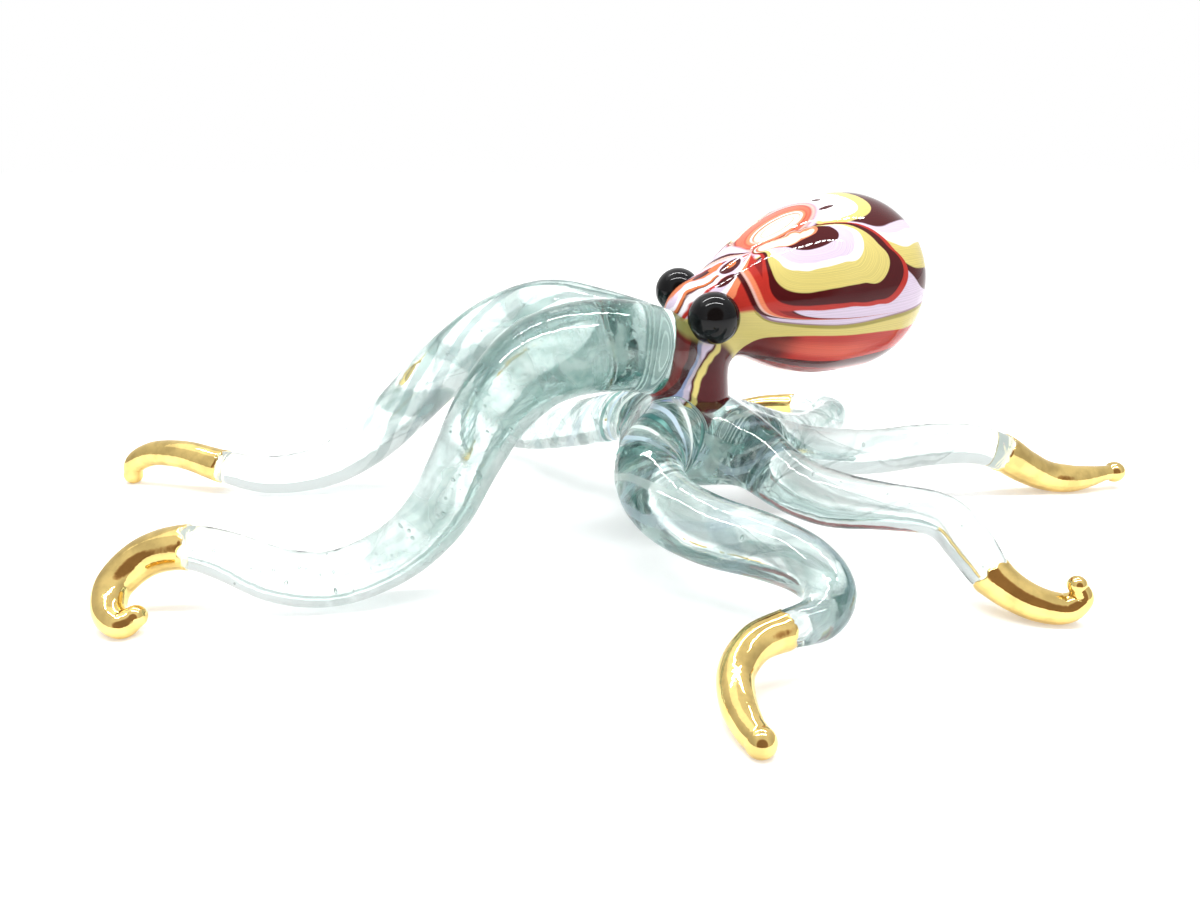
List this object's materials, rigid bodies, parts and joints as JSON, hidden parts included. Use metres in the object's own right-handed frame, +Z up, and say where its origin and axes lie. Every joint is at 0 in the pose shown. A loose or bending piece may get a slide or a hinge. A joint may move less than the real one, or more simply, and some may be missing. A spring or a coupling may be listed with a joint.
{
  "type": "octopus figurine",
  "caption": "Lamp-worked glass octopus: curling clear arms with gilded tips fused to a hub, a combed red mantle on a bent neck and black bead eyes.",
  "frame": {"origin": "on the surface that the figurine stands on, under the middle of its footprint", "axes": "+Z up from the surface, +X to the figurine's back and right, so that the head faces -X"},
  "size_m": [0.1234, 0.0893, 0.0352],
  "materials": {
    "clear_glass": "polished clear glass with twisted grey-green ribbons in it",
    "combed_glass": "glossy red glass combed with cream, white, lavender and maroon bands",
    "black_glass": "glossy opaque black",
    "gold_lustre": "bright fired gold lustre over glass"
  },
  "bodies": {
    "root": {"mantle": "combed_glass", "neck": "combed_glass", "hub": "clear_glass", "eye_left": "black_glass", "eye_right": "black_glass", "arm_left_1": "clear_glass", "arm_left_2": "clear_glass", "arm_left_3": "clear_glass", "arm_left_4": "clear_glass", "arm_right_1": "clear_glass", "arm_right_2": "clear_glass", "arm_right_3": "clear_glass", "arm_right_4": "clear_glass", "gilded_tip_left_1": "gold_lustre", "gilded_tip_left_2": "gold_lustre", "gilded_tip_left_3": "gold_lustre", "gilded_tip_left_4": "gold_lustre", "gilded_tip_right_1": "gold_lustre", "gilded_tip_right_2": "gold_lustre", "gilded_tip_right_3": "gold_lustre", "gilded_tip_right_4": "gold_lustre"}
  },
  "joints": []
}
